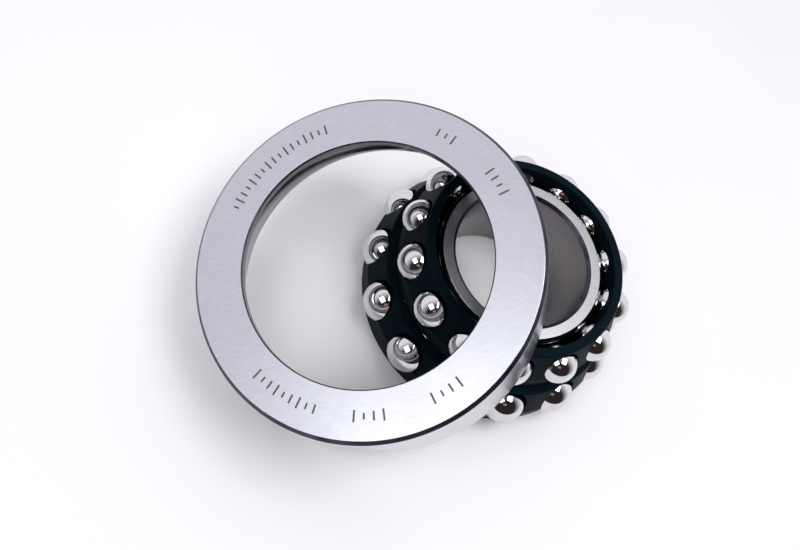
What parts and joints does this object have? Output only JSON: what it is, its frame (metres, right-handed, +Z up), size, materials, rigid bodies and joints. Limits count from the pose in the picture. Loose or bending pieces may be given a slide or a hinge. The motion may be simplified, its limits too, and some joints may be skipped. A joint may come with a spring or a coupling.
{
  "type": "two-row angular contact bearing",
  "caption": "Separable angular contact ball bearing shown apart: inner ring with two caged rows of balls standing on its large end, and the outer ring leaning on it.",
  "frame": {"origin": "on the inner ring's axis at the plane of its large-end face, which the part stands on", "axes": "+Z up the inner ring's axis toward its small end; the outer ring leans toward -X, so -Z is the way the shaft leaves"},
  "size_m": [0.1136, 0.0762, 0.0545],
  "materials": {
    "ring_steel": "ground bearing steel, honed raceways",
    "outer_ring_steel": "ground bearing steel, fine circular grain on the faces",
    "ball_steel": "lapped mirror finish",
    "cage_nylon": "moulded glass-filled nylon, satin"
  },
  "bodies": {
    "inner_ring": {"inner_ring": "ring_steel"},
    "outer_ring": {"outer_ring": "outer_ring_steel"},
    "small_row_cage": {"small_row_cage": "cage_nylon"},
    "large_row_cage": {"large_row_cage": "cage_nylon"},
    "small_row_ball_01": {"small_row_ball_01": "ball_steel"},
    "small_row_ball_02": {"small_row_ball_02": "ball_steel"},
    "small_row_ball_03": {"small_row_ball_03": "ball_steel"},
    "small_row_ball_04": {"small_row_ball_04": "ball_steel"},
    "small_row_ball_05": {"small_row_ball_05": "ball_steel"},
    "small_row_ball_06": {"small_row_ball_06": "ball_steel"},
    "small_row_ball_07": {"small_row_ball_07": "ball_steel"},
    "small_row_ball_08": {"small_row_ball_08": "ball_steel"},
    "small_row_ball_09": {"small_row_ball_09": "ball_steel"},
    "small_row_ball_10": {"small_row_ball_10": "ball_steel"},
    "small_row_ball_11": {"small_row_ball_11": "ball_steel"},
    "small_row_ball_12": {"small_row_ball_12": "ball_steel"},
    "small_row_ball_13": {"small_row_ball_13": "ball_steel"},
    "small_row_ball_14": {"small_row_ball_14": "ball_steel"},
    "large_row_ball_01": {"large_row_ball_01": "ball_steel"},
    "large_row_ball_02": {"large_row_ball_02": "ball_steel"},
    "large_row_ball_03": {"large_row_ball_03": "ball_steel"},
    "large_row_ball_04": {"large_row_ball_04": "ball_steel"},
    "large_row_ball_05": {"large_row_ball_05": "ball_steel"},
    "large_row_ball_06": {"large_row_ball_06": "ball_steel"},
    "large_row_ball_07": {"large_row_ball_07": "ball_steel"},
    "large_row_ball_08": {"large_row_ball_08": "ball_steel"},
    "large_row_ball_09": {"large_row_ball_09": "ball_steel"},
    "large_row_ball_10": {"large_row_ball_10": "ball_steel"},
    "large_row_ball_11": {"large_row_ball_11": "ball_steel"},
    "large_row_ball_12": {"large_row_ball_12": "ball_steel"},
    "large_row_ball_13": {"large_row_ball_13": "ball_steel"},
    "large_row_ball_14": {"large_row_ball_14": "ball_steel"}
  },
  "joints": [
    {"name": "outer_ring_spin", "type": "hinge", "parent": "inner_ring", "child": "outer_ring", "pos_m": [-0.03837, 0, 0.02728], "axis": [-0.454, 0, 0.891], "continuous": true},
    {"name": "small_row_cage_spin", "type": "hinge", "parent": "inner_ring", "child": "small_row_cage", "pos_m": [0, 0, 0.0228], "axis": [0, 0, 1], "continuous": true},
    {"name": "large_row_cage_spin", "type": "hinge", "parent": "inner_ring", "child": "large_row_cage", "pos_m": [0, 0, 0.00765], "axis": [0, 0, 1], "continuous": true},
    {"name": "small_row_ball_01_roll", "type": "hinge", "parent": "small_row_cage", "child": "small_row_ball_01", "pos_m": [0.02493, 0.00839, 0.0228], "axis": [-0.6092, -0.205, 0.766], "continuous": true},
    {"name": "small_row_ball_02_roll", "type": "hinge", "parent": "small_row_cage", "child": "small_row_ball_02", "pos_m": [0.01882, 0.01837, 0.0228], "axis": [-0.4599, -0.449, 0.766], "continuous": true},
    {"name": "small_row_ball_03_roll", "type": "hinge", "parent": "small_row_cage", "child": "small_row_ball_03", "pos_m": [0.00898, 0.02472, 0.0228], "axis": [-0.2195, -0.6041, 0.766], "continuous": true},
    {"name": "small_row_ball_04_roll", "type": "hinge", "parent": "small_row_cage", "child": "small_row_ball_04", "pos_m": [-0.00263, 0.02617, 0.0228], "axis": [0.0643, -0.6396, 0.766], "continuous": true},
    {"name": "small_row_ball_05_roll", "type": "hinge", "parent": "small_row_cage", "child": "small_row_ball_05", "pos_m": [-0.01372, 0.02244, 0.0228], "axis": [0.3354, -0.5483, 0.766], "continuous": true},
    {"name": "small_row_ball_06_roll", "type": "hinge", "parent": "small_row_cage", "child": "small_row_ball_06", "pos_m": [-0.0221, 0.01426, 0.0228], "axis": [0.5401, -0.3485, 0.766], "continuous": true},
    {"name": "small_row_ball_07_roll", "type": "hinge", "parent": "small_row_cage", "child": "small_row_ball_07", "pos_m": [-0.0261, 0.00326, 0.0228], "axis": [0.6378, -0.0796, 0.766], "continuous": true},
    {"name": "small_row_ball_08_roll", "type": "hinge", "parent": "small_row_cage", "child": "small_row_ball_08", "pos_m": [-0.02493, -0.00839, 0.0228], "axis": [0.6092, 0.205, 0.766], "continuous": true},
    {"name": "small_row_ball_09_roll", "type": "hinge", "parent": "small_row_cage", "child": "small_row_ball_09", "pos_m": [-0.01882, -0.01837, 0.0228], "axis": [0.4599, 0.449, 0.766], "continuous": true},
    {"name": "small_row_ball_10_roll", "type": "hinge", "parent": "small_row_cage", "child": "small_row_ball_10", "pos_m": [-0.00898, -0.02472, 0.0228], "axis": [0.2195, 0.6041, 0.766], "continuous": true},
    {"name": "small_row_ball_11_roll", "type": "hinge", "parent": "small_row_cage", "child": "small_row_ball_11", "pos_m": [0.00263, -0.02617, 0.0228], "axis": [-0.0643, 0.6396, 0.766], "continuous": true},
    {"name": "small_row_ball_12_roll", "type": "hinge", "parent": "small_row_cage", "child": "small_row_ball_12", "pos_m": [0.01372, -0.02244, 0.0228], "axis": [-0.3354, 0.5483, 0.766], "continuous": true},
    {"name": "small_row_ball_13_roll", "type": "hinge", "parent": "small_row_cage", "child": "small_row_ball_13", "pos_m": [0.0221, -0.01426, 0.0228], "axis": [-0.5401, 0.3485, 0.766], "continuous": true},
    {"name": "small_row_ball_14_roll", "type": "hinge", "parent": "small_row_cage", "child": "small_row_ball_14", "pos_m": [0.0261, -0.00326, 0.0228], "axis": [-0.6378, 0.0796, 0.766], "continuous": true},
    {"name": "large_row_ball_01_roll", "type": "hinge", "parent": "large_row_cage", "child": "large_row_ball_01", "pos_m": [0.03079, 0.00056, 0.00765], "axis": [-0.6427, -0.0118, 0.766], "continuous": true},
    {"name": "large_row_ball_02_roll", "type": "hinge", "parent": "large_row_cage", "child": "large_row_ball_02", "pos_m": [0.0275, 0.01387, 0.00765], "axis": [-0.5739, -0.2895, 0.766], "continuous": true},
    {"name": "large_row_ball_03_roll", "type": "hinge", "parent": "large_row_cage", "child": "large_row_ball_03", "pos_m": [0.01876, 0.02443, 0.00765], "axis": [-0.3915, -0.5098, 0.766], "continuous": true},
    {"name": "large_row_ball_04_roll", "type": "hinge", "parent": "large_row_cage", "child": "large_row_ball_04", "pos_m": [0.0063, 0.03015, 0.00765], "axis": [-0.1315, -0.6292, 0.766], "continuous": true},
    {"name": "large_row_ball_05_roll", "type": "hinge", "parent": "large_row_cage", "child": "large_row_ball_05", "pos_m": [-0.0074, 0.0299, 0.00765], "axis": [0.1545, -0.6239, 0.766], "continuous": true},
    {"name": "large_row_ball_06_roll", "type": "hinge", "parent": "large_row_cage", "child": "large_row_ball_06", "pos_m": [-0.01964, 0.02372, 0.00765], "axis": [0.4099, -0.4951, 0.766], "continuous": true},
    {"name": "large_row_ball_07_roll", "type": "hinge", "parent": "large_row_cage", "child": "large_row_ball_07", "pos_m": [-0.02799, 0.01285, 0.00765], "axis": [0.5841, -0.2682, 0.766], "continuous": true},
    {"name": "large_row_ball_08_roll", "type": "hinge", "parent": "large_row_cage", "child": "large_row_ball_08", "pos_m": [-0.03079, -0.00056, 0.00765], "axis": [0.6427, 0.0118, 0.766], "continuous": true},
    {"name": "large_row_ball_09_roll", "type": "hinge", "parent": "large_row_cage", "child": "large_row_ball_09", "pos_m": [-0.0275, -0.01387, 0.00765], "axis": [0.5739, 0.2895, 0.766], "continuous": true},
    {"name": "large_row_ball_10_roll", "type": "hinge", "parent": "large_row_cage", "child": "large_row_ball_10", "pos_m": [-0.01876, -0.02443, 0.00765], "axis": [0.3915, 0.5098, 0.766], "continuous": true},
    {"name": "large_row_ball_11_roll", "type": "hinge", "parent": "large_row_cage", "child": "large_row_ball_11", "pos_m": [-0.0063, -0.03015, 0.00765], "axis": [0.1315, 0.6292, 0.766], "continuous": true},
    {"name": "large_row_ball_12_roll", "type": "hinge", "parent": "large_row_cage", "child": "large_row_ball_12", "pos_m": [0.0074, -0.0299, 0.00765], "axis": [-0.1545, 0.6239, 0.766], "continuous": true},
    {"name": "large_row_ball_13_roll", "type": "hinge", "parent": "large_row_cage", "child": "large_row_ball_13", "pos_m": [0.01964, -0.02372, 0.00765], "axis": [-0.4099, 0.4951, 0.766], "continuous": true},
    {"name": "large_row_ball_14_roll", "type": "hinge", "parent": "large_row_cage", "child": "large_row_ball_14", "pos_m": [0.02799, -0.01285, 0.00765], "axis": [-0.5841, 0.2682, 0.766], "continuous": true}
  ],
  "couplings": [
    {"joint": "small_row_ball_01_roll", "follows": "small_row_cage_spin", "ratio": 4.7563},
    {"joint": "small_row_ball_02_roll", "follows": "small_row_cage_spin", "ratio": 4.7563},
    {"joint": "small_row_ball_03_roll", "follows": "small_row_cage_spin", "ratio": 4.7563},
    {"joint": "small_row_ball_04_roll", "follows": "small_row_cage_spin", "ratio": 4.7563},
    {"joint": "small_row_ball_05_roll", "follows": "small_row_cage_spin", "ratio": 4.7563},
    {"joint": "small_row_ball_06_roll", "follows": "small_row_cage_spin", "ratio": 4.7563},
    {"joint": "small_row_ball_07_roll", "follows": "small_row_cage_spin", "ratio": 4.7563},
    {"joint": "small_row_ball_08_roll", "follows": "small_row_cage_spin", "ratio": 4.7563},
    {"joint": "small_row_ball_09_roll", "follows": "small_row_cage_spin", "ratio": 4.7563},
    {"joint": "small_row_ball_10_roll", "follows": "small_row_cage_spin", "ratio": 4.7563},
    {"joint": "small_row_ball_11_roll", "follows": "small_row_cage_spin", "ratio": 4.7563},
    {"joint": "small_row_ball_12_roll", "follows": "small_row_cage_spin", "ratio": 4.7563},
    {"joint": "small_row_ball_13_roll", "follows": "small_row_cage_spin", "ratio": 4.7563},
    {"joint": "small_row_ball_14_roll", "follows": "small_row_cage_spin", "ratio": 4.7563},
    {"joint": "large_row_ball_01_roll", "follows": "large_row_cage_spin", "ratio": 4.7773},
    {"joint": "large_row_ball_02_roll", "follows": "large_row_cage_spin", "ratio": 4.7773},
    {"joint": "large_row_ball_03_roll", "follows": "large_row_cage_spin", "ratio": 4.7773},
    {"joint": "large_row_ball_04_roll", "follows": "large_row_cage_spin", "ratio": 4.7773},
    {"joint": "large_row_ball_05_roll", "follows": "large_row_cage_spin", "ratio": 4.7773},
    {"joint": "large_row_ball_06_roll", "follows": "large_row_cage_spin", "ratio": 4.7773},
    {"joint": "large_row_ball_07_roll", "follows": "large_row_cage_spin", "ratio": 4.7773},
    {"joint": "large_row_ball_08_roll", "follows": "large_row_cage_spin", "ratio": 4.7773},
    {"joint": "large_row_ball_09_roll", "follows": "large_row_cage_spin", "ratio": 4.7773},
    {"joint": "large_row_ball_10_roll", "follows": "large_row_cage_spin", "ratio": 4.7773},
    {"joint": "large_row_ball_11_roll", "follows": "large_row_cage_spin", "ratio": 4.7773},
    {"joint": "large_row_ball_12_roll", "follows": "large_row_cage_spin", "ratio": 4.7773},
    {"joint": "large_row_ball_13_roll", "follows": "large_row_cage_spin", "ratio": 4.7773},
    {"joint": "large_row_ball_14_roll", "follows": "large_row_cage_spin", "ratio": 4.7773}
  ]
}
